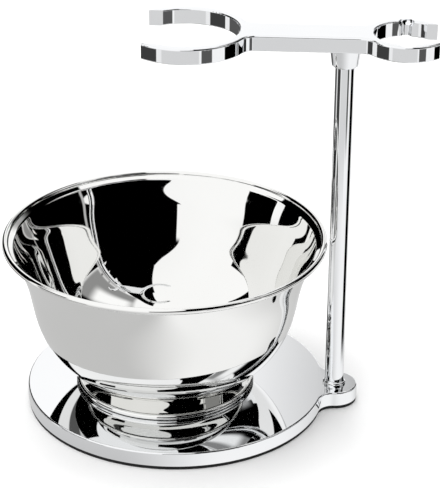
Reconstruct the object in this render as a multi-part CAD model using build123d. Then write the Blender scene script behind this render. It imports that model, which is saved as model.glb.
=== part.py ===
from build123d import *
import math
import os

# Shaving stand: a weighted plate with a post, an arm with a brush fork and a razor fork,
# and a loose footed bowl with a double wall.  Millimetres, +Z up.  The origin is on the
# table, under the centre of the plate's disc, and +X runs from there towards the post.

# ---- base plate and its pad ----
DISC_RADIUS = 48.0
PLATE_THICKNESS = 4.7
PLATE_EDGE_ROUND = 0.5
POST_STANDOFF = 3.4
LOBE_RADIUS = 7.4
NECK_FILLET = 5.0
PAD_THICKNESS = 1.0
FILM_THICKNESS = 0.15
PAD_INSET = 0.2
FILM_INSET = 0.8

# ---- post, its collar and the screw under it ----
STAND_HEIGHT = 126.6
POST_RADIUS = 3.0
POST_SEAT_DEPTH = 1.0
POST_END_CHAMFER = 0.3
COLLAR_WALL = 0.6
COLLAR_HEIGHT = 1.6
COLLAR_RIM_HEIGHT = 0.5
COLLAR_LIP = 0.12
COLLAR_EDGE_DIRECTION = (-1, 0.4)
COLLAR_TOP_DIRECTION = (-0.1, 1)
THREAD_RADIUS = 2.0
SCREW_LENGTH = 12.0
SCREW_HEAD_RADIUS = 4.0
SCREW_HEAD_SINK = 0.2
RECESS_WIDTH = 0.9
RECESS_SPAN = 4.2
RECESS_DEPTH = 1.4
TAP_RUNOUT = 1.5

# ---- arm ----
ARM_THICKNESS = 5.0
ARM_WIDTH = 11.9
ARM_TOP_ROUND = 0.6
ARM_UNDER_ROUND = 0.4
BRUSH_REACH = 48.4
BRUSH_FORK_BORE = 16.5
BRUSH_FORK_WALL = 2.9
BRUSH_FORK_HOOK = 2.05
RAZOR_REACH = 18.3
RAZOR_FORK_BORE = 10.1
RAZOR_FORK_WALL = 2.7
RAZOR_FORK_HOOK = 2.1
FORK_TIP_LAND = 0.55
FORK_FILLET = 5.0
FORK_EDGE_ROUND = 0.4
GROOVE_RADIUS = 1.6
SEAT_RADIUS = 2.35
BOSS_WALL = 1.05
BOSS_DRAFT = 0.8
BOSS_HEIGHT = 6.0
BOSS_NOSE_ROUND = 0.7
SOCKET_DEPTH = 3.0
ARM_SKIN = 1.5
STUD_LENGTH = 12.0
STUD_END_GAP = 1.0
STUD_HEX = 2.0
STUD_HEX_DEPTH = 2.0
WASHER_THICKNESS = 0.5
WASHER_INSET = 0.1

# ---- bowl ----
BOWL_HEIGHT = 51.0
RIM_RADIUS = 51.4
RIM_BEAD = 1.0
RIM_REACH = 2.4
RIM_SLOPE = 30.0
THROAT_SLOPE = 62.0
THROAT_BEND = 1.2
BOWL_SHEET = 0.4
WAIST_RADIUS = 20.5
LINER_FLAT = 3.0
LINER_REACH = 3.55
LINER_SLOPE = 66.0
LINER_BEND = 1.2
FOOT_HEIGHT = 4.7
FOOT_RADIUS = 28.8
FOOT_BEAD = 0.9
FOOT_WALL = 0.8
FOOT_FLANGE = 3.5
# Points that the walls pass through: share of the way out, share of the way up.
WALL_SHAPE = ((0.32, 0.065), (0.58, 0.235), (0.716, 0.42), (0.836, 0.76))
LINER_SHAPE = ((0.17, 0.023), (0.335, 0.072), (0.505, 0.159), (0.655, 0.283), (0.758, 0.427),
               (0.824, 0.571), (0.88, 0.715), (0.935, 0.861))
FOOT_SHOULDER = (0.42, 0.62)
FOOT_TOP_DIRECTION = (1, -0.05)
FOOT_EDGE_DIRECTION = (1, -0.08)

# ---- clearances ----
THREAD_GAP = 0.05
SCREW_HOLE_GAP = 0.25
HEAD_GAP = 0.1
SEAT_GAP = 0.05
SWIVEL_GAP = 0.05
WASHER_BORE_GAP = 0.15
BOWL_REST_GAP = 0.1
BOWL_POST_GAP = 0.5
LINER_GAP = 0.05

# ---- levels and places that follow from the sizes above ----
post_reach = DISC_RADIUS + POST_STANDOFF
plate_under = PAD_THICKNESS + FILM_THICKNESS
plate_top = plate_under + PLATE_THICKNESS
seat_floor = plate_top - POST_SEAT_DEPTH
screw_face = plate_under + SCREW_HEAD_SINK
screw_end = screw_face + SCREW_LENGTH
arm_under = STAND_HEIGHT - ARM_THICKNESS
boss_end = arm_under - BOSS_HEIGHT
socket_top = boss_end + SOCKET_DEPTH
washer_low = socket_top - SWIVEL_GAP - WASHER_THICKNESS
post_top = washer_low
stud_hole_top = STAND_HEIGHT - ARM_SKIN
stud_top = stud_hole_top - STUD_END_GAP
stud_low = stud_top - STUD_LENGTH
bowl_x = post_reach - POST_RADIUS - BOWL_POST_GAP - RIM_RADIUS
bowl_low = plate_top + BOWL_REST_GAP
waist_level = bowl_low + FOOT_HEIGHT
liner_floor = waist_level + 2 * BOWL_SHEET + LINER_GAP
bead_centre = Vector(RIM_RADIUS - RIM_BEAD, bowl_low + BOWL_HEIGHT - RIM_BEAD)

AT_POST = Pos(post_reach, 0, 0)
AT_BOWL = Pos(bowl_x, 0, 0)
SAME_PLACE = 0.01


def rod(radius, low, high):
    """Upright cylinder on the Z axis between two levels."""
    return Pos(0, 0, low) * Cylinder(radius, high - low, align=(Align.CENTER, Align.CENTER, Align.MIN))


def spin(outline):
    """Solid of revolution about Z from an outline given as radius and level."""
    return revolve(Plane.XZ * make_face(outline), Axis.Z)


def spin_points(*points):
    """Solid of revolution from straight-sided points of radius and level."""
    return spin(Polyline(*points, close=True))


def shifted(curve, distance, count=24):
    """A spline that lies to the left of a curve, at a constant distance."""
    points = []
    for step in range(count + 1):
        share = step / count
        tangent = curve % share
        points.append(curve @ share + distance * Vector(-tangent.Y, tangent.X))
    return Spline(*points, tangents=(curve % 0, curve % 1))


# ---- base ----
def base_outline(inset=0.0):
    """Plan of the plate: the disc, the lobe that carries the post, and the neck between."""
    plan = Circle(DISC_RADIUS) + Pos(post_reach, 0) * Circle(LOBE_RADIUS)
    neck_x = (DISC_RADIUS**2 - LOBE_RADIUS**2 + post_reach**2) / (2 * post_reach)
    plan = fillet(plan.vertices().filter_by(lambda v: abs(v.X - neck_x) < SAME_PLACE), NECK_FILLET)
    if inset:
        plan = offset(plan, -inset)
    return plan


def base_plate():
    """Cast plate: polished top, a shallow seat for the post and a countersunk hole under it."""
    plate = Pos(0, 0, plate_under) * extrude(base_outline(), PLATE_THICKNESS)
    plate = fillet(plate.edges().group_by(Axis.Z)[-1], PLATE_EDGE_ROUND)
    seat = rod(POST_RADIUS + SEAT_GAP, seat_floor, plate_top)
    hole = rod(THREAD_RADIUS + SCREW_HOLE_GAP, plate_under, plate_top)
    mouth = SCREW_HEAD_RADIUS + HEAD_GAP
    sink = rod(mouth, plate_under, screw_face)
    cone = spin_points((0, screw_face), (mouth, screw_face), (0, screw_face + mouth))
    return plate - AT_POST * (seat + hole + sink + cone)


def pad_film():
    """Adhesive film between the plate and the pad."""
    return Pos(0, 0, PAD_THICKNESS) * extrude(base_outline(FILM_INSET), FILM_THICKNESS)


def base_pad():
    """Foam rubber sheet that the stand rests on."""
    return extrude(base_outline(PAD_INSET), PAD_THICKNESS)


def base_screw():
    """Countersunk screw with a cross recess, up through the plate into the post."""
    head_depth = SCREW_HEAD_RADIUS - THREAD_RADIUS
    screw = spin_points(
        (0, screw_face),
        (SCREW_HEAD_RADIUS, screw_face),
        (THREAD_RADIUS, screw_face + head_depth),
        (THREAD_RADIUS, screw_end),
        (0, screw_end),
    )
    blade = Box(RECESS_SPAN, RECESS_WIDTH, 2 * RECESS_DEPTH)
    recess = Pos(0, 0, screw_face) * (blade + Rot(0, 0, 90) * blade)
    return AT_POST * (screw - recess)


# ---- post ----
def post():
    """Round post, tapped at both ends."""
    body = rod(POST_RADIUS, seat_floor, post_top)
    body = chamfer(body.edges().filter_by(GeomType.CIRCLE), POST_END_CHAMFER)
    tap = THREAD_RADIUS + THREAD_GAP
    body -= rod(tap, seat_floor, screw_end + TAP_RUNOUT)
    body -= rod(tap, stud_low, post_top)
    return AT_POST * body


def foot_collar():
    """Thin turned ring round the foot of the post, with a cove up to the post."""
    bore = POST_RADIUS + SEAT_GAP
    top = plate_top + COLLAR_HEIGHT
    rim = plate_top + COLLAR_RIM_HEIGHT
    outside = bore + COLLAR_WALL
    cove_start = Vector(outside, rim)
    cove_end = Vector(bore + COLLAR_LIP, top)
    cove = Spline(cove_start, cove_end, tangents=(COLLAR_EDGE_DIRECTION, COLLAR_TOP_DIRECTION))
    sides = Polyline(cove_end, (bore, top), (bore, plate_top), (outside, plate_top), cove_start)
    return AT_POST * spin(cove + sides)


def arm_stud():
    """Headless screw with a hexagon socket, half in the post and half in the arm."""
    stud = rod(THREAD_RADIUS, stud_low, stud_top)
    stud = chamfer(stud.edges().filter_by(GeomType.CIRCLE), POST_END_CHAMFER)
    key = RegularPolygon(STUD_HEX / 2, 6, major_radius=False)
    stud -= Pos(0, 0, stud_top - STUD_HEX_DEPTH) * extrude(key, STUD_HEX_DEPTH)
    return AT_POST * stud


def arm_washer():
    """Slip washer that the arm turns on, between the post's end and the boss."""
    top = washer_low + WASHER_THICKNESS
    washer = rod(POST_RADIUS - WASHER_INSET, washer_low, top)
    return AT_POST * (washer - rod(THREAD_RADIUS + WASHER_BORE_GAP, washer_low, top))


# ---- arm ----
FORKS = (
    (-BRUSH_REACH, BRUSH_FORK_BORE, BRUSH_FORK_WALL, BRUSH_FORK_HOOK),
    (RAZOR_REACH, RAZOR_FORK_BORE, RAZOR_FORK_WALL, RAZOR_FORK_HOOK),
)


def arm_outline():
    """Outer plan of the arm about the post: a straight bar with a round head at each end."""
    bar_length = BRUSH_REACH + RAZOR_REACH
    plan = Pos((RAZOR_REACH - BRUSH_REACH) / 2, 0) * Rectangle(bar_length, ARM_WIDTH)
    necks = []
    for centre, bore, wall, hook in FORKS:
        plan += Pos(centre, 0) * Circle(bore + wall)
        neck_run = math.sqrt((bore + wall) ** 2 - (ARM_WIDTH / 2) ** 2)
        necks.append(centre - math.copysign(neck_run, centre))
    corners = plan.vertices().filter_by(lambda v: min(abs(v.X - x) for x in necks) < SAME_PLACE)
    return fillet(corners, FORK_FILLET)


def fork_mouth(centre, bore, wall, hook):
    """Cutter for a fork's straight mouth, narrower than its bore, with blunt tips beside it."""
    outer = bore + wall
    half_mouth = bore - hook
    tip = math.sqrt(outer**2 - (half_mouth + FORK_TIP_LAND) ** 2)
    side = math.copysign(1, centre)
    slot = Pos(centre + side * outer / 2, 0) * Rectangle(outer, 2 * half_mouth)
    slot += Pos(centre + side * (tip + outer / 2), 0) * Rectangle(outer, 2 * outer)
    return Pos(0, 0, arm_under) * extrude(slot, ARM_THICKNESS)


def arm_boss():
    """Tapered boss under the arm with a rounded nose."""
    low_radius = POST_RADIUS + SWIVEL_GAP + BOSS_WALL
    top_radius = low_radius + BOSS_DRAFT
    boss = spin_points((0, boss_end), (low_radius, boss_end), (top_radius, arm_under), (0, arm_under))
    return fillet(boss.edges().group_by(Axis.Z)[0], BOSS_NOSE_ROUND)


def arm():
    """Cast arm: forks, boss, and the socket and tapped hole that take the post and the stud."""
    body = Pos(0, 0, arm_under) * extrude(arm_outline(), ARM_THICKNESS)
    body = fillet(body.edges().group_by(Axis.Z)[-1], ARM_TOP_ROUND)
    body = fillet(body.edges().group_by(Axis.Z)[0], ARM_UNDER_ROUND)
    for centre, bore, wall, hook in FORKS:
        body -= Pos(centre, 0, 0) * rod(bore, arm_under, STAND_HEIGHT)
        circles = body.edges().filter_by(GeomType.CIRCLE)
        rims = circles.filter_by(lambda e: abs(e.radius - bore) < SAME_PLACE)
        body = fillet(rims, FORK_EDGE_ROUND)
        body -= fork_mouth(centre, bore, wall, hook)
    for side in (-1, 1):
        place = Pos(RAZOR_REACH, side * RAZOR_FORK_BORE, 0)
        body -= place * rod(GROOVE_RADIUS, arm_under, STAND_HEIGHT)
        body -= place * Pos(0, 0, STAND_HEIGHT) * Sphere(SEAT_RADIUS)
    body += arm_boss()
    body -= rod(POST_RADIUS + SWIVEL_GAP, boss_end, socket_top)
    body -= rod(THREAD_RADIUS + THREAD_GAP, socket_top, stud_hole_top)
    return AT_POST * body


# ---- bowl ----
def direction(degrees):
    """Unit vector at an angle above the horizontal."""
    return Vector(math.cos(math.radians(degrees)), math.sin(math.radians(degrees)))


def stations(start, end, shares):
    """Points between two ends, given as shares of the way out and of the way up."""
    reach = end - start
    return [start + Vector(out * reach.X, up * reach.Y) for out, up in shares]


def sheet_section(wall, thickness, bend, slope, flange_end, inwards):
    """Section of one sheet: its wall curve, the throat bend and the flange, with the thickness
    laid to the inside or the outside of the curve."""
    side = 1 if inwards else -1
    other = shifted(wall, side * thickness)
    turn = RIM_SLOPE - slope
    near_bend = JernArc(wall @ 1, wall % 1, bend, turn)
    far_bend = JernArc(other @ 1, other % 1, bend + side * thickness, turn)
    across = side * thickness * direction(RIM_SLOPE + 90)
    flange = Polyline(near_bend @ 1, flange_end, flange_end + across, far_bend @ 1)
    low, high = other @ 0, wall @ 0
    floor = Polyline(low, (0, low.Y), (0, high.Y), high)
    return make_face(wall + other + near_bend + far_bend + flange + floor)


def bowl_shell():
    """Spun outer wall: flat bottom, round belly, flared throat and a rolled bead at the rim."""
    out = direction(RIM_SLOPE)
    sheet_end = bead_centre - BOWL_SHEET * direction(RIM_SLOPE + 90)
    bend_run = THROAT_BEND * (direction(THROAT_SLOPE - 90) - direction(RIM_SLOPE - 90))
    throat_radius = RIM_RADIUS - RIM_REACH
    flange = (sheet_end.X - throat_radius - bend_run.X) / out.X
    throat = Vector(throat_radius, sheet_end.Y - flange * out.Y - bend_run.Y)
    waist = Vector(WAIST_RADIUS, waist_level)
    wall = Spline(
        waist,
        *stations(waist, throat, WALL_SHAPE),
        throat,
        tangents=((1, 0), direction(THROAT_SLOPE)),
    )
    section = sheet_section(wall, BOWL_SHEET, THROAT_BEND, THROAT_SLOPE, sheet_end, inwards=True)
    section += Pos(bead_centre.X, bead_centre.Y) * Circle(RIM_BEAD)
    return AT_BOWL * revolve(Plane.XZ * section, Axis.Z)


def bowl_liner():
    """Spun inner wall: a plain round cup whose flange lies on the outer wall's, up to the bead."""
    sheet_end = bead_centre + (BOWL_SHEET + LINER_GAP) * direction(RIM_SLOPE + 90)
    flange = (sheet_end.X - RIM_RADIUS + LINER_REACH) / direction(RIM_SLOPE).X
    corner = sheet_end - flange * direction(RIM_SLOPE)
    bend_run = LINER_BEND * math.tan(math.radians(LINER_SLOPE - RIM_SLOPE) / 2)
    throat = corner - bend_run * direction(LINER_SLOPE)
    flat_end = Vector(LINER_FLAT, liner_floor)
    wall = Spline(
        flat_end,
        *stations(flat_end, throat, LINER_SHAPE),
        throat,
        tangents=((1, 0), direction(LINER_SLOPE)),
    )
    section = sheet_section(wall, BOWL_SHEET, LINER_BEND, LINER_SLOPE, sheet_end, inwards=False)
    section -= Pos(bead_centre.X, bead_centre.Y) * Circle(RIM_BEAD)
    return AT_BOWL * revolve(Plane.XZ * section, Axis.Z)


def bowl_foot():
    """Spun foot ring: a flat flange under the bowl, flaring to a rolled edge."""
    bead = Vector(FOOT_RADIUS - FOOT_BEAD, bowl_low + FOOT_BEAD)
    end = bead + Vector(0, FOOT_WALL / 2)
    start = Vector(WAIST_RADIUS - FOOT_WALL, waist_level)
    shoulder = stations(start, end, (FOOT_SHOULDER,))
    outer = Spline(start, *shoulder, end, tangents=(FOOT_TOP_DIRECTION, FOOT_EDGE_DIRECTION))
    inner = shifted(outer, -FOOT_WALL)
    flange = WAIST_RADIUS - FOOT_FLANGE
    inner_start = inner @ 0
    ring = Polyline(start, (flange, waist_level), (flange, waist_level - FOOT_WALL), inner_start)
    section = make_face(outer + inner + ring + Line(outer @ 1, inner @ 1))
    section += Pos(bead.X, bead.Y) * Circle(FOOT_BEAD)
    return AT_BOWL * revolve(Plane.XZ * section, Axis.Z)


NODES = {
    "base_plate": base_plate,
    "pad_film": pad_film,
    "base_pad": base_pad,
    "base_screw": base_screw,
    "post": post,
    "foot_collar": foot_collar,
    "arm_stud": arm_stud,
    "arm_washer": arm_washer,
    "arm": arm,
    "bowl_shell": bowl_shell,
    "bowl_liner": bowl_liner,
    "bowl_foot": bowl_foot,
}

os.makedirs("parts", exist_ok=True)
for node, build_node in NODES.items():
    export_step(build_node(), os.path.join("parts", node + ".step"))
    print("wrote", node)
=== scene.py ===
import math

import bmesh
import bpy
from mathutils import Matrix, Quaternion, Vector
from mathutils.geometry import interpolate_bezier


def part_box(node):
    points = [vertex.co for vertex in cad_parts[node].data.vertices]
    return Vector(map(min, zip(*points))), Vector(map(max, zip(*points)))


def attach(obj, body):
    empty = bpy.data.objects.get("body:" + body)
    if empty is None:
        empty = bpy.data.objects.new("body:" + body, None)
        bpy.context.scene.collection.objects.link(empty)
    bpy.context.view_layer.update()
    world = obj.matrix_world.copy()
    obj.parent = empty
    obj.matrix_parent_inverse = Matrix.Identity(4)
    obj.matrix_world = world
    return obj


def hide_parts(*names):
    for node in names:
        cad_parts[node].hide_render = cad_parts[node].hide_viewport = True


# Shaving stand: plated base plate, post and arm, and a loose double-walled bowl on its foot.
# Lengths below are in millimetres, as in the CAD source, and slopes in radians from level.
# Places come from the CAD frame, in metres, and every mesh is made in metres.

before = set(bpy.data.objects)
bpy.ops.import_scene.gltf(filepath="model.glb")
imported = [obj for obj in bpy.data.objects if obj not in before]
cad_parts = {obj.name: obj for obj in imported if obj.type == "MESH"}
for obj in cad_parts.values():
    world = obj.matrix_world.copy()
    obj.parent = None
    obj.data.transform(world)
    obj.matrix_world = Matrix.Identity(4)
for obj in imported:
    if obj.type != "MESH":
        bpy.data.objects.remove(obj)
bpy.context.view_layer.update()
MM = 0.001

# ---- sizes that the CAD boxes don't give ----
PLATE_EDGE_ROUND = 0.5
PLATE_UNDER_BREAK = 0.15
LOBE_RADIUS = 7.4
NECK_FILLET = 5.0
PAD_EDGE_ROUND = 0.25
SEAT_RADIUS = 3.05
SEAT_DEPTH = 1.0
SCREW_HOLE_RADIUS = 2.25
SINK_RADIUS = 4.1
SINK_DEPTH = 0.2

POST_RADIUS = 3.0
POST_END_BREAK = 0.3
TAP_RADIUS = 2.05
LOW_TAP_DEPTH = 10.0
HIGH_TAP_DEPTH = 6.0

COLLAR_RADIUS = 3.65
COLLAR_LIP = 3.17
COLLAR_RIM = 0.5
COLLAR_EDGE = 0.12
# Which way the collar's cove leaves its low edge, and which way it meets its top.
COLLAR_EDGE_DIRECTION = Vector((-1, 0.35))
COLLAR_TOP_DIRECTION = Vector((-0.08, 1))

RIM_BEAD = 1.0
RIM_REACH = 2.4
RIM_SLOPE = math.radians(30)
THROAT_SLOPE = math.radians(62)
THROAT_BEND = 1.2
BEAD_FILLET = 0.25
BOWL_SHEET = 0.4
WAIST_RADIUS = 20.5
# Places on the bowl's two walls, as shares of the way out and of the way up.
WALL_SHAPE = ((0.32, 0.065), (0.58, 0.235), (0.716, 0.42), (0.836, 0.76))
LINER_FLAT = 3.0
LINER_REACH = 3.55
LINER_SLOPE = math.radians(66)
LINER_BEND = 1.2
LINER_SHAPE = (
    (0.17, 0.023), (0.335, 0.072), (0.505, 0.159), (0.655, 0.283),
    (0.758, 0.427), (0.824, 0.571), (0.88, 0.715), (0.935, 0.861),
)
# The liner's flange lies this far over the shell's, and stops this far short of the step
# in the shell that its end faces.
LINER_GAP = 0.05
SEAM = 0.01

FOOT_BEAD = 0.9
FOOT_WALL = 0.8
FOOT_FLANGE = 3.5
FOOT_SHOULDER = (0.42, 0.62)
FOOT_TOP_DIRECTION = Vector((1, -0.05))
FOOT_EDGE_DIRECTION = Vector((1, -0.08))

OUTWARD = Vector((1, 0))
SHARP_ANGLE = math.radians(40)
MICROMETRE = 1e-6

# ---- how finely round things are divided ----
BOWL_TURNS = 288
POST_TURNS = 128
HOLE_TURNS = 64
WALL_STEPS = 22
LINER_STEPS = 10
COVE_STEPS = 20
BEND_STEPS = 10
HOLLOW_STEPS = 5
BEAD_STEPS = 40
FOOT_BEAD_STEPS = 36
POST_STEPS = 24
CURVE_ROUNDS = 60

# ---- places, from the CAD frame ----
plate_low, plate_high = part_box("base_plate")
pad_low, pad_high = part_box("base_pad")
post_low, post_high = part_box("post")
_, collar_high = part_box("foot_collar")
shell_low, shell_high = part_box("bowl_shell")
liner_low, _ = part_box("bowl_liner")
foot_low, foot_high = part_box("bowl_foot")

disc_radius = plate_high.y / MM
pad_inset = disc_radius - pad_high.y / MM
post_axis = (post_low.x + post_high.x) / 2
bowl_axis = (shell_low.x + shell_high.x) / 2
plate_under = plate_low.z / MM
plate_top = plate_high.z / MM
waist_level = shell_low.z / MM
rim_radius = shell_high.y / MM
rim_top = shell_high.z / MM
liner_floor = liner_low.z / MM + BOWL_SHEET
foot_radius = foot_high.y / MM
foot_level = foot_low.z / MM


# ---- outlines ----
def heading(angle):
    """Unit vector at an angle from the outward direction; radians."""
    return Vector((math.cos(angle), math.sin(angle)))


def arc(centre, radius, start, end, count):
    """Points along an arc, both ends included; angles in radians."""
    turns = (start + (end - start) * step / count for step in range(count + 1))
    return [centre + radius * heading(turn) for turn in turns]


def fair_curve(points, leaving, arriving, count):
    """Smooth curve through points: a cubic spline with its end directions given.  The
    directions in between settle in rounds until the curve bends evenly through each point."""
    spans = [(b - a).length for a, b in zip(points, points[1:])]
    slopes = [leaving.normalized()]
    slopes += [(b - a).normalized() for a, b in zip(points[1:], points[2:])]
    slopes += [arriving.normalized()]
    for _ in range(CURVE_ROUNDS):
        for i in range(1, len(points) - 1):
            before, after = spans[i - 1], spans[i]
            pull = 3 * after * (points[i] - points[i - 1]) / before
            pull += 3 * before * (points[i + 1] - points[i]) / after
            pull -= after * slopes[i - 1] + before * slopes[i + 1]
            slopes[i] = pull / (2 * (before + after))
    curve = [points[0]]
    for i, span in enumerate(spans):
        handles = (points[i] + slopes[i] * span / 3, points[i + 1] - slopes[i + 1] * span / 3)
        bezier = interpolate_bezier(points[i], *handles, points[i + 1], count + 1)
        curve += [Vector(p[:2]) for p in bezier[1:]]
    return curve


def shifted(curve, distance):
    """The curve moved to its own left by a constant distance."""
    moved = []
    for i, point in enumerate(curve):
        along = curve[min(i + 1, len(curve) - 1)] - curve[max(i - 1, 0)]
        moved.append(point + distance * Vector((-along.y, along.x)).normalized())
    return moved


def stations(start, end, shares):
    """Points between two ends, given as shares of the way out and of the way up."""
    reach = end - start
    return [start + Vector((out * reach.x, up * reach.y)) for out, up in shares]


def straight(start, end, count):
    """Points between two ends, both left out."""
    return [start.lerp(end, step / (count + 1)) for step in range(1, count + 1)]


def plate_plan(inset):
    """Plan of the plate's edge, moved inwards: disc, two neck fillets and the post's lobe."""
    reach = post_axis / MM
    disc, lobe = Vector((0, 0)), Vector((reach, 0))
    far, near = disc_radius + NECK_FILLET, LOBE_RADIUS + NECK_FILLET
    neck_x = (far**2 - near**2 + reach**2) / (2 * reach)
    neck = Vector((neck_x, math.sqrt(far**2 - neck_x**2)))
    from_disc = math.atan2(neck.y, neck.x)
    from_lobe = math.atan2(neck.y, neck.x - reach)
    below = Vector((neck.x, -neck.y))
    fillet = NECK_FILLET + inset
    plan = arc(lobe, LOBE_RADIUS - inset, -from_lobe, from_lobe, 72)[:-1]
    plan += arc(neck, fillet, from_lobe - math.pi, from_disc - math.pi, 16)[:-1]
    plan += arc(disc, disc_radius - inset, from_disc, 2 * math.pi - from_disc, 300)[:-1]
    plan += arc(below, fillet, math.pi - from_disc, math.pi - from_lobe, 16)[:-1]
    return plan


def rounded_edge(radius, level, upwards, count=6):
    """Insets and levels round a quarter circle, from the side up (or down) to the flat."""
    steps = []
    for step in range(count + 1):
        angle = math.pi / 2 * step / count
        rise = radius * math.sin(angle) - radius
        steps.append((radius - radius * math.cos(angle), level + (rise if upwards else -rise)))
    return steps


# ---- meshes ----
def finished(name, bm, node, body):
    """Mesh object from a bmesh: smooth where the surface is, riding on its body."""
    bmesh.ops.recalc_face_normals(bm, faces=bm.faces)
    mesh = bpy.data.meshes.new(name)
    bm.to_mesh(mesh)
    bm.free()
    mesh.shade_smooth()
    mesh.set_sharp_from_angle(angle=SHARP_ANGLE)
    piece = bpy.data.objects.new(name, mesh)
    bpy.context.collection.objects.link(piece)
    weigh = piece.modifiers.new("flats stay flat", "WEIGHTED_NORMAL")
    weigh.keep_sharp = True
    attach(piece, body)
    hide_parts(node)
    return piece


def joined(bm, rings, closed):
    """Faces between neighbouring rings of points; a ring of one point is a pole."""
    pairs = list(zip(rings, rings[1:]))
    if closed:
        pairs.append((rings[-1], rings[0]))
    for a, b in pairs:
        for i in range(max(len(a), len(b))):
            corners = [a[i % len(a)], a[(i + 1) % len(a)], b[(i + 1) % len(b)], b[i % len(b)]]
            corners = list(dict.fromkeys(corners))
            if len(corners) > 2:
                bm.faces.new(corners)


def ring(bm, axis, radius, level, count):
    """Ring of points round an upright axis, from a radius and a level in mm."""
    places = [heading(2 * math.pi * step / count) * radius * MM for step in range(count)]
    return [bm.verts.new((axis + place.x, place.y, level * MM)) for place in places]


def turned(name, outline, axis, node, body, turns, closed=False):
    """Turned or spun piece from radius and level in mm, about an upright axis."""
    bm = bmesh.new()
    rings = []
    for radius, level in outline:
        if radius > 0:
            rings.append(ring(bm, axis, radius, level, turns))
        else:
            rings.append([bm.verts.new((axis, 0, level * MM))])
    joined(bm, rings, closed)
    return finished(name, bm, node, body)


def slab_rings(bm, insets):
    """Rings of the plate's plan at each inset and level, in mm."""
    rings = []
    for inset, level in insets:
        rings.append([bm.verts.new((p.x * MM, p.y * MM, level * MM)) for p in plate_plan(inset)])
    return rings


def fill_between(bm, outside, inside=None):
    """Flat face inside one ring of points, with another ring left open in it."""
    edges = []
    for ring in (outside, inside or []):
        for a, b in zip(ring, ring[1:] + ring[:1]):
            edges.append(bm.edges.get((a, b)))
    bmesh.ops.triangle_fill(bm, edges=edges, use_beauty=True)


# ---- base ----
def base_plate():
    """Plate with a softened top edge, the post's seat and the screw's countersunk hole."""
    bm = bmesh.new()
    edge = rounded_edge(PLATE_UNDER_BREAK, plate_under, upwards=False, count=2)[::-1]
    edge += rounded_edge(PLATE_EDGE_ROUND, plate_top, upwards=True)
    outer = slab_rings(bm, edge)
    joined(bm, outer, closed=False)
    seat_floor = plate_top - SEAT_DEPTH
    sink_top = plate_under + SINK_DEPTH
    cone_top = sink_top + SINK_RADIUS - SCREW_HOLE_RADIUS
    steps = (
        (SEAT_RADIUS, plate_top),
        (SEAT_RADIUS, seat_floor),
        (SCREW_HOLE_RADIUS, seat_floor),
        (SCREW_HOLE_RADIUS, cone_top),
        (SINK_RADIUS, sink_top),
        (SINK_RADIUS, plate_under),
    )
    hole = [ring(bm, post_axis, radius, level, HOLE_TURNS) for radius, level in steps]
    joined(bm, hole, closed=False)
    fill_between(bm, outer[-1], hole[0])
    fill_between(bm, outer[0], hole[-1])
    return finished("base_plate_casting", bm, "base_plate", "stand")


def base_pad():
    """Foam rubber sheet: its cut edge is a little rounded where the stand's weight squeezes it."""
    bm = bmesh.new()
    low, high = pad_low.z / MM, pad_high.z / MM
    edge = rounded_edge(PAD_EDGE_ROUND, low, upwards=False, count=4)[::-1]
    edge += rounded_edge(PAD_EDGE_ROUND, high, upwards=True, count=4)
    rings = slab_rings(bm, [(inset + pad_inset, level) for inset, level in edge])
    joined(bm, rings, closed=False)
    fill_between(bm, rings[0])
    fill_between(bm, rings[-1])
    return finished("base_pad_sheet", bm, "base_pad", "stand")


# ---- post ----
def post_rod():
    """Round rod with broken end edges and a tapped hole in each end."""
    low, high = post_low.z / MM, post_high.z / MM
    low_edge = Vector((POST_RADIUS, low + POST_END_BREAK))
    high_edge = Vector((POST_RADIUS, high - POST_END_BREAK))
    broken = POST_RADIUS - POST_END_BREAK
    outline = [
        (0, low + LOW_TAP_DEPTH),
        (TAP_RADIUS, low + LOW_TAP_DEPTH),
        (TAP_RADIUS, low),
        (broken, low),
        low_edge,
        *straight(low_edge, high_edge, POST_STEPS),
        high_edge,
        (broken, high),
        (TAP_RADIUS, high),
        (TAP_RADIUS, high - HIGH_TAP_DEPTH),
        (0, high - HIGH_TAP_DEPTH),
    ]
    return turned("post_rod", outline, post_axis, "post", "stand", POST_TURNS)


def foot_collar():
    """Thin turned ring round the foot of the post, with a cove up to the post."""
    top = collar_high.z / MM
    edge = Vector((COLLAR_RADIUS, plate_top + COLLAR_RIM))
    shoulder = edge - Vector((COLLAR_EDGE, -COLLAR_EDGE))
    lip = Vector((COLLAR_LIP, top))
    cove = fair_curve([shoulder, lip], COLLAR_EDGE_DIRECTION, COLLAR_TOP_DIRECTION, COVE_STEPS)
    outline = [Vector((SEAT_RADIUS, plate_top)), Vector((COLLAR_RADIUS, plate_top))]
    outline += arc(edge - Vector((COLLAR_EDGE, 0)), COLLAR_EDGE, 0, math.pi / 2, HOLLOW_STEPS)
    outline += cove[1:]
    outline += [Vector((SEAT_RADIUS, top))]
    return turned(
        "post_foot_collar", outline, post_axis, "foot_collar", "stand", POST_TURNS, closed=True
    )


# ---- bowl ----
def rim_places():
    """Centre of the rim's bead, the flange's directions along and across the sheet, and the
    point where the liner's top face runs into the bead."""
    bead = Vector((rim_radius - RIM_BEAD, rim_top - RIM_BEAD))
    out, across = heading(RIM_SLOPE), heading(RIM_SLOPE + math.pi / 2)
    rise = BOWL_SHEET + LINER_GAP
    run = math.sqrt((RIM_BEAD + BEAD_FILLET) ** 2 - (rise + BEAD_FILLET) ** 2)
    return bead, out, across, bead + rise * across - run * out


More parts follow.
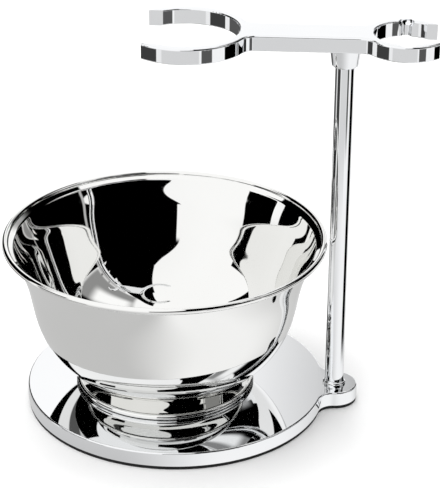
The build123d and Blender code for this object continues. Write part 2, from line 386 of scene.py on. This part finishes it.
def bowl_shell():
    """Spun outer wall: flat bottom, round belly, flared throat, sloping flange and rolled bead."""
    bead, out, across, liner_end = rim_places()
    sheet_end = bead - BOWL_SHEET * across
    to_throat, to_flange = heading(THROAT_SLOPE - math.pi / 2), heading(RIM_SLOPE - math.pi / 2)
    bend_run = THROAT_BEND * (to_throat - to_flange)
    throat_radius = rim_radius - RIM_REACH
    flange = (sheet_end.x - throat_radius - bend_run.x) / out.x
    throat = Vector((throat_radius, sheet_end.y - flange * out.y - bend_run.y))
    waist = Vector((WAIST_RADIUS, waist_level))
    points = [waist, *stations(waist, throat, WALL_SHAPE), throat]
    outside = fair_curve(points, OUTWARD, heading(THROAT_SLOPE), WALL_STEPS)
    inside = shifted(outside, BOWL_SHEET)

    bend = throat + THROAT_BEND * to_throat
    start, end = THROAT_SLOPE + math.pi / 2, RIM_SLOPE + math.pi / 2
    under_bend = arc(bend, THROAT_BEND, start, end, BEND_STEPS)
    over_bend = arc(bend, THROAT_BEND + BOWL_SHEET, start, end, BEND_STEPS)

    # The rolled bead meets the flange in a small hollow on each side.
    reach = RIM_BEAD + BEAD_FILLET
    low_sweep = math.asin((BOWL_SHEET + BEAD_FILLET) / reach)
    high_sweep = math.asin((BOWL_SHEET + LINER_GAP + BEAD_FILLET) / reach)
    inward, up = RIM_SLOPE + math.pi, RIM_SLOPE + math.pi / 2
    hollow_low = bead + reach * heading(inward + low_sweep)
    hollow_high = bead + reach * heading(inward - high_sweep)
    bead_start, bead_end = inward + low_sweep, inward - high_sweep + 2 * math.pi
    into_low = arc(hollow_low, BEAD_FILLET, up, bead_start - math.pi, HOLLOW_STEPS)
    round_bead = arc(bead, RIM_BEAD, bead_start, bead_end, BEAD_STEPS)
    from_high = arc(hollow_high, BEAD_FILLET, bead_end - math.pi, up + math.pi, HOLLOW_STEPS)

    step = liner_end - (BOWL_SHEET + LINER_GAP) * across
    under_centre = Vector((0, waist_level))
    outline = [under_centre] + straight(under_centre, waist, 12)
    outline += outside + under_bend[1:]
    outline += straight(under_bend[-1], into_low[0], 3)
    outline += into_low + round_bead[1:-1] + from_high + [step]
    outline += over_bend[::-1] + inside[::-1][1:]
    centre = Vector((0, waist_level + BOWL_SHEET))
    outline += straight(inside[0], centre, 12) + [centre]
    return turned("bowl_spun_shell", outline, bowl_axis, "bowl_shell", "bowl", BOWL_TURNS)


def bowl_liner():
    """Spun inner wall: a plain round cup with a flange that lies on the shell's, up to the bead."""
    _, out, across, end = rim_places()
    end -= SEAM * out
    flange = (end.x - rim_radius + LINER_REACH) / out.x
    corner = end - flange * out
    bend_run = LINER_BEND * math.tan((LINER_SLOPE - RIM_SLOPE) / 2)
    throat = corner - bend_run * heading(LINER_SLOPE)
    flat_end = Vector((LINER_FLAT, liner_floor))
    points = [flat_end, *stations(flat_end, throat, LINER_SHAPE), throat]
    inside = fair_curve(points, OUTWARD, heading(LINER_SLOPE), LINER_STEPS)
    outside = shifted(inside, -BOWL_SHEET)

    bend = throat + LINER_BEND * heading(LINER_SLOPE - math.pi / 2)
    start, stop = LINER_SLOPE + math.pi / 2, RIM_SLOPE + math.pi / 2
    over_bend = arc(bend, LINER_BEND, start, stop, BEND_STEPS)
    under_bend = arc(bend, LINER_BEND - BOWL_SHEET, start, stop, BEND_STEPS)

    over_centre = Vector((0, liner_floor))
    outline = [over_centre] + straight(over_centre, flat_end, 3)
    outline += inside + over_bend[1:]
    outline += straight(over_bend[-1], end, 4) + [end, end - BOWL_SHEET * across]
    outline += under_bend[::-1] + outside[::-1][1:]
    centre = Vector((0, liner_floor - BOWL_SHEET))
    outline += straight(outside[0], centre, 3) + [centre]
    return turned("bowl_spun_liner", outline, bowl_axis, "bowl_liner", "bowl", BOWL_TURNS)


def bowl_foot():
    """Spun foot ring: a flat flange under the bowl, flaring to a rolled edge."""
    bead = Vector((foot_radius - FOOT_BEAD, foot_level + FOOT_BEAD))
    end = bead + Vector((0, FOOT_WALL / 2))
    start = Vector((WAIST_RADIUS - FOOT_WALL, waist_level))
    points = [start, *stations(start, end, (FOOT_SHOULDER,)), end]
    outside = fair_curve(points, FOOT_TOP_DIRECTION, FOOT_EDGE_DIRECTION, WALL_STEPS)
    inside = shifted(outside, -FOOT_WALL)
    dip = math.asin(FOOT_WALL / 2 / FOOT_BEAD)
    round_bead = arc(bead, FOOT_BEAD, math.pi - dip, dip - math.pi, FOOT_BEAD_STEPS)
    flange = WAIST_RADIUS - FOOT_FLANGE
    outline = [Vector((flange, waist_level))] + outside[:-1]
    outline += round_bead
    outline += inside[::-1][1:]
    outline += [Vector((flange, waist_level - FOOT_WALL))]
    return turned(
        "bowl_foot_ring", outline, bowl_axis, "bowl_foot", "bowl", BOWL_TURNS, closed=True
    )


# ---- materials ----
TINT_CLOUD_MM = 25.0
FOAM_CELL_MM = 0.35
FOAM_CELL_DEPTH_MM = 0.06


def colour(code):
    """Linear colour from an sRGB hex code."""
    parts = [int(code[i : i + 2], 16) / 255 for i in (1, 3, 5)]
    linear = [c / 12.92 if c <= 0.04045 else ((c + 0.055) / 1.055) ** 2.4 for c in parts]
    return (*linear, 1.0)


def add(tree, kind, settings=None, **inputs):
    """Adds a node.  An input is a value, or another node's output to link from.  It is named
    by its label with _ for each space, or by its number after _ where labels repeat."""
    made = tree.nodes.new(kind)
    for key, value in (settings or {}).items():
        setattr(made, key, value)
    for key, value in inputs.items():
        socket = made.inputs[int(key[1:]) if key[0] == "_" else key.replace("_", " ")]
        if isinstance(value, bpy.types.NodeSocket):
            tree.links.new(value, socket)
        else:
            socket.default_value = value
    return made


def new_material(name):
    """Empty node material and its tree."""
    made = bpy.data.materials.new(name)
    made.use_nodes = True
    made.node_tree.nodes.clear()
    return made, made.node_tree


def mirror_metal(name, tint, shade, haze, wave_mm, wave_height_um, mark_mm):
    """Mirror-bright metal.  Its tint shifts a little between two tones and its polish is a
    little hazier in patches; the surface waves by a few micrometres as buffing leaves it."""
    made, tree = new_material(name)
    place = add(tree, "ShaderNodeTexCoord").outputs["Object"]
    cloud = add(
        tree, "ShaderNodeTexNoise", Vector=place, Scale=1 / (TINT_CLOUD_MM * MM), Detail=3.0
    )
    blend = add(
        tree, "ShaderNodeMix", {"data_type": "RGBA"},
        _0=cloud.outputs["Fac"], _6=colour(tint), _7=colour(shade),
    )
    marks = add(tree, "ShaderNodeTexNoise", Vector=place, Scale=1 / (mark_mm * MM), Detail=6.0)
    polish = add(
        tree, "ShaderNodeMapRange", Value=marks.outputs["Fac"],
        From_Min=0.35, From_Max=0.75, To_Min=haze[0], To_Max=haze[1],
    )
    waves = add(tree, "ShaderNodeTexNoise", Vector=place, Scale=1 / (wave_mm * MM), Detail=1.0)
    bump = add(
        tree, "ShaderNodeBump", Strength=1.0, Distance=wave_height_um * MICROMETRE,
        Height=waves.outputs["Fac"],
    )
    skin = add(
        tree, "ShaderNodeBsdfPrincipled", Base_Color=blend.outputs[2], Metallic=1.0,
        Roughness=polish.outputs["Result"], Normal=bump.outputs["Normal"],
    )
    add(tree, "ShaderNodeOutputMaterial", Surface=skin.outputs["BSDF"])
    return made


# Bright chromium plate on a polished zinc casting: near-black and white reflections, with
# the faint waviness that a buffed casting keeps under its plate.
CHROMED_CASTING = mirror_metal(
    "chromium plate on buffed zinc casting", "#f4f5f6", "#eff0f2", (0.012, 0.045), 9.0, 2.0, 1.5
)
# The same plate on drawn rod: straighter reflections, because the rod was ground first.
CHROMED_ROD = mirror_metal(
    "chromium plate on ground steel rod", "#f4f5f6", "#f0f1f3", (0.01, 0.035), 14.0, 0.8, 1.2
)
# Spun stainless sheet buffed to a mirror: a shade warmer than chromium.
BUFFED_STAINLESS = mirror_metal(
    "mirror-buffed spun stainless steel", "#f3f3f2", "#eeeeec", (0.012, 0.04), 12.0, 1.2, 1.8
)


def foam_rubber():
    """Black foam rubber, skived from a block: matt, with the open cells of its cut face."""
    made, tree = new_material("skived black foam rubber")
    place = add(tree, "ShaderNodeTexCoord").outputs["Object"]
    cells = add(tree, "ShaderNodeTexVoronoi", Vector=place, Scale=1 / (FOAM_CELL_MM * MM))
    tone = add(tree, "ShaderNodeMapRange", Value=cells.outputs["Distance"])
    blend = add(
        tree, "ShaderNodeMix", {"data_type": "RGBA"},
        _0=tone.outputs["Result"], _6=colour("#0b0b0c"), _7=colour("#1c1c1d"),
    )
    bump = add(
        tree, "ShaderNodeBump", Strength=0.7, Distance=FOAM_CELL_DEPTH_MM * MM,
        Height=cells.outputs["Distance"],
    )
    skin = add(
        tree, "ShaderNodeBsdfPrincipled", Base_Color=blend.outputs[2], Roughness=0.85,
        IOR=1.5, Normal=bump.outputs["Normal"],
    )
    add(tree, "ShaderNodeOutputMaterial", Surface=skin.outputs["BSDF"])
    return made


def speckled(name, tones, roughness, metallic, grain_mm, height_um, ior):
    """Small hidden parts: a fine two-tone grain with a matching bump."""
    made, tree = new_material(name)
    place = add(tree, "ShaderNodeTexCoord").outputs["Object"]
    grain = add(tree, "ShaderNodeTexNoise", Vector=place, Scale=1 / (grain_mm * MM), Detail=4.0)
    blend = add(
        tree, "ShaderNodeMix", {"data_type": "RGBA"},
        _0=grain.outputs["Fac"], _6=colour(tones[0]), _7=colour(tones[1]),
    )
    bump = add(
        tree, "ShaderNodeBump", Strength=1.0, Distance=height_um * MICROMETRE,
        Height=grain.outputs["Fac"],
    )
    skin = add(
        tree, "ShaderNodeBsdfPrincipled", Base_Color=blend.outputs[2], Metallic=metallic,
        Roughness=roughness, IOR=ior, Normal=bump.outputs["Normal"],
    )
    add(tree, "ShaderNodeOutputMaterial", Surface=skin.outputs["BSDF"])
    return made


FOAM_RUBBER = foam_rubber()
# Zinc passivated steel: grey with the dull sparkle of a fine crystalline plate.
PASSIVATED_STEEL = speckled(
    "zinc passivated steel", ("#a9adb0", "#8f9396"), 0.32, 1.0, 0.25, 3.0, 1.5
)
# Natural nylon: milky and slightly waxy.
NATURAL_NYLON = speckled("natural nylon", ("#e8e4d8", "#dcd7c9"), 0.45, 0.0, 0.4, 4.0, 1.53)
# Acrylic transfer adhesive: a thin dull grey film.
TRANSFER_ADHESIVE = speckled(
    "acrylic transfer adhesive", ("#8c8d8a", "#777875"), 0.6, 0.0, 0.3, 3.0, 1.47
)

# ---- pieces ----
PIECES = (
    (base_plate(), CHROMED_CASTING, "plated_casting"),
    (base_pad(), FOAM_RUBBER, "pad_rubber"),
    (post_rod(), CHROMED_ROD, "polished_steel"),
    (foot_collar(), CHROMED_CASTING, "plated_casting"),
    (bowl_shell(), BUFFED_STAINLESS, "polished_steel"),
    (bowl_liner(), BUFFED_STAINLESS, "polished_steel"),
    (bowl_foot(), BUFFED_STAINLESS, "polished_steel"),
)
for piece, skin, slot_name in PIECES:
    piece.data.materials.append(skin)

# The CAD solids that keep their own shape get the same finishes.
KEPT_NODES = {
    "arm": CHROMED_CASTING,
    "base_screw": PASSIVATED_STEEL,
    "arm_stud": PASSIVATED_STEEL,
    "arm_washer": NATURAL_NYLON,
    "pad_film": TRANSFER_ADHESIVE,
}
for node_name, skin in KEPT_NODES.items():
    for material_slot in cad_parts[node_name].material_slots:
        material_slot.material = skin

# ---- studio ----
# Light panels and black flags round the stand, as a mirror finish shows them: azimuth from
# +X towards +Y and elevation, in degrees, then brightness, the softness of the edge, and how
# far the sides lean in azimuth for each degree up.  A later panel covers an earlier one, and
# a range that runs past half a turn stops there.
PANELS = (
    ("table", (-200, 200), (-100, 0), 0.6, 1.0, 0.0),
    ("table, far part", (-200, 200), (-27, 8), 0.92, 12.0, 0.0),
    ("table, right", (-90, 40), (-180, 45), 1.0, 90.0, 0.0),
    ("flag beside the post", (-12, 34), (-28.6, -16), 0.0, 1.0, 0.0),
    ("flag behind the post", (118, 166), (-28.6, -16), 0.1, 2.0, 0.0),
    ("dark edge of the table", (-190, -140), (-24, -14), 0.05, 1.5, 0.0),
    ("dark edge, front left", (-58, -38), (-23, -14), 0.1, 1.5, 0.0),
    ("arm front, shade", (-130, -62), (-24, -14), 0.72, 3.0, 0.0),
    ("flag, front, top", (-50, -8), (71, 82), 0.0, 1.0, 1.2),
    ("flag, front, upper", (-67, -20), (39, 72), 0.0, 1.0, 0.4),
    ("flag, front, middle", (-78, -20), (29, 40), 0.0, 1.0, 1.1),
    ("flag, front, lower", (-91, -20), (20, 30), 0.0, 1.0, 1.6),
    ("flag, low front", (-96, 60), (0, 21), 0.0, 0.6, 0.0),
    ("flag, right", (16, 64), (20, 60), 0.0, 1.0, 0.0),
    ("flag, low left", (-250, -154), (0, 21), 0.0, 0.6, 0.0),
    ("flag, back left", (110, 172), (0, 46), 0.0, 0.6, 0.0),
    ("soft box, right, rim", (-15, 19), (22, 69), 0.3, 4.0, 0.0),
    ("soft box, right", (0, 19), (36, 67), 1.1, 10.0, 0.0),
    ("strip light, right", (-18, -16), (8, 58), 0.5, 1.0, 0.0),
    ("grey card, back", (60, 90), (24, 34), 0.4, 8.0, 0.0),
)
SKY_BRIGHTNESS = 1.08
PAPER_BRIGHTNESS = 1.0
# The paper and the light over it, in metres.
PAPER_HALF_WIDTH = 4.0
PAPER_TONES = (0.88, 0.9)
PAPER_FIBRE_SCALE = 900.0
OVERHEAD_PLACE = Vector((-0.2, 0.2, 1.6))
OVERHEAD_SIZE = 2.4
OVERHEAD_WATTS = 40.0


def window(tree, value, low, high, soft):
    """1 between two values and 0 outside them, with soft edges."""
    rise = add(
        tree, "ShaderNodeMapRange", {"interpolation_type": "SMOOTHSTEP"}, Value=value,
        From_Min=low - soft / 2, From_Max=low + soft / 2,
    )
    fall = add(
        tree, "ShaderNodeMapRange", {"interpolation_type": "SMOOTHSTEP"}, Value=value,
        From_Min=high + soft / 2, From_Max=high - soft / 2,
    )
    both = add(
        tree, "ShaderNodeMath", {"operation": "MULTIPLY"},
        _0=rise.outputs["Result"], _1=fall.outputs["Result"],
    )
    return both.outputs["Value"]


def studio_world():
    """White tent with panels and flags for the metal to mirror.  The camera itself sees only
    plain white round the stand."""
    world = bpy.data.worlds.new("studio")
    bpy.context.scene.world = world
    world.use_nodes = True
    tree = world.node_tree
    tree.nodes.clear()
    direction = add(tree, "ShaderNodeTexCoord").outputs["Generated"]
    parts = add(tree, "ShaderNodeSeparateXYZ", Vector=direction).outputs
    turn = add(tree, "ShaderNodeMath", {"operation": "ARCTAN2"}, _0=parts["Y"], _1=parts["X"])
    azimuth = add(
        tree, "ShaderNodeMath", {"operation": "DEGREES"}, _0=turn.outputs["Value"]
    ).outputs["Value"]
    lift = add(tree, "ShaderNodeMath", {"operation": "ARCSINE"}, _0=parts["Z"])
    elevation = add(
        tree, "ShaderNodeMath", {"operation": "DEGREES"}, _0=lift.outputs["Value"]
    ).outputs["Value"]
    tone = SKY_BRIGHTNESS
    for _, across, up, brightness, soft, lean in PANELS:
        upright = add(
            tree, "ShaderNodeMath", {"operation": "MULTIPLY_ADD"},
            _0=elevation, _1=-lean, _2=azimuth,
        ).outputs["Value"]
        left, right = (side - lean * sum(up) / 2 for side in across)
        mask = add(
            tree, "ShaderNodeMath", {"operation": "MULTIPLY"},
            _0=window(tree, upright, left, right, soft), _1=window(tree, elevation, *up, soft),
        )
        mix = add(tree, "ShaderNodeMix", _0=mask.outputs["Value"], _2=tone, _3=brightness)
        tone = mix.outputs[0]
    seen = add(tree, "ShaderNodeLightPath").outputs["Is Camera Ray"]
    plain = add(tree, "ShaderNodeMix", _0=seen, _2=tone, _3=PAPER_BRIGHTNESS)
    light = add(tree, "ShaderNodeBackground", Color=(1, 1, 1, 1), Strength=plain.outputs[0])
    add(tree, "ShaderNodeOutputWorld", Surface=light.outputs["Background"])


def paper_floor():
    """White paper under the stand.  Mirrors see the studio's own panels instead of it."""
    bm = bmesh.new()
    bmesh.ops.create_grid(bm, x_segments=2, y_segments=2, size=PAPER_HALF_WIDTH)
    mesh = bpy.data.meshes.new("paper_floor")
    bm.to_mesh(mesh)
    bm.free()
    floor = bpy.data.objects.new("paper_floor", mesh)
    bpy.context.collection.objects.link(floor)
    floor.visible_glossy = False
    made, tree = new_material("matt white paper")
    place = add(tree, "ShaderNodeTexCoord").outputs["Object"]
    fibre = add(tree, "ShaderNodeTexNoise", Vector=place, Scale=PAPER_FIBRE_SCALE, Detail=2.0)
    tone = add(
        tree, "ShaderNodeMapRange", Value=fibre.outputs["Fac"],
        To_Min=PAPER_TONES[0], To_Max=PAPER_TONES[1],
    )
    skin = add(tree, "ShaderNodeBsdfDiffuse", Color=tone.outputs["Result"])
    add(tree, "ShaderNodeOutputMaterial", Surface=skin.outputs["BSDF"])
    mesh.materials.append(made)


def overhead_light():
    """Soft area light that lights the paper and is not mirrored in the metal."""
    lamp = bpy.data.lights.new("overhead_soft_light", "AREA")
    lamp.size = OVERHEAD_SIZE
    lamp.energy = OVERHEAD_WATTS
    holder = bpy.data.objects.new("overhead_soft_light", lamp)
    bpy.context.collection.objects.link(holder)
    holder.location = OVERHEAD_PLACE
    holder.rotation_euler = OVERHEAD_PLACE.to_track_quat("Z", "Y").to_euler()
    holder.visible_glossy = False


studio_world()
paper_floor()
overhead_light()

# ---- camera: its place in metres, its lens and sensor in millimetres ----
CAMERA_AZIMUTH = math.radians(2.79)
CAMERA_ELEVATION = math.radians(25.78)
CAMERA_ROLL = math.radians(0.5)
CAMERA_DISTANCE = 0.6712
CAMERA_TARGET = Vector((0.01394, 0.00006, 0.05434))
CAMERA_LENS = 156.7
CAMERA_SENSOR = 36.0
CAMERA_REACH = 50.0


def place_camera():
    """Camera in front of the stand and above it, with a long lens."""
    eye = bpy.data.cameras.new("camera")
    eye.lens = CAMERA_LENS
    eye.sensor_width = CAMERA_SENSOR
    eye.clip_end = CAMERA_REACH
    camera = bpy.data.objects.new("camera", eye)
    bpy.context.collection.objects.link(camera)
    level = math.cos(CAMERA_ELEVATION)
    back = Vector(
        (
            math.sin(CAMERA_AZIMUTH) * level,
            -math.cos(CAMERA_AZIMUTH) * level,
            math.sin(CAMERA_ELEVATION),
        )
    )
    camera.location = CAMERA_TARGET + CAMERA_DISTANCE * back
    camera.rotation_mode = "QUATERNION"
    camera.rotation_quaternion = back.to_track_quat("Z", "Y") @ Quaternion((0, 0, 1), CAMERA_ROLL)
    bpy.context.scene.camera = camera


place_camera()
bpy.context.scene.view_settings.view_transform = "Standard"
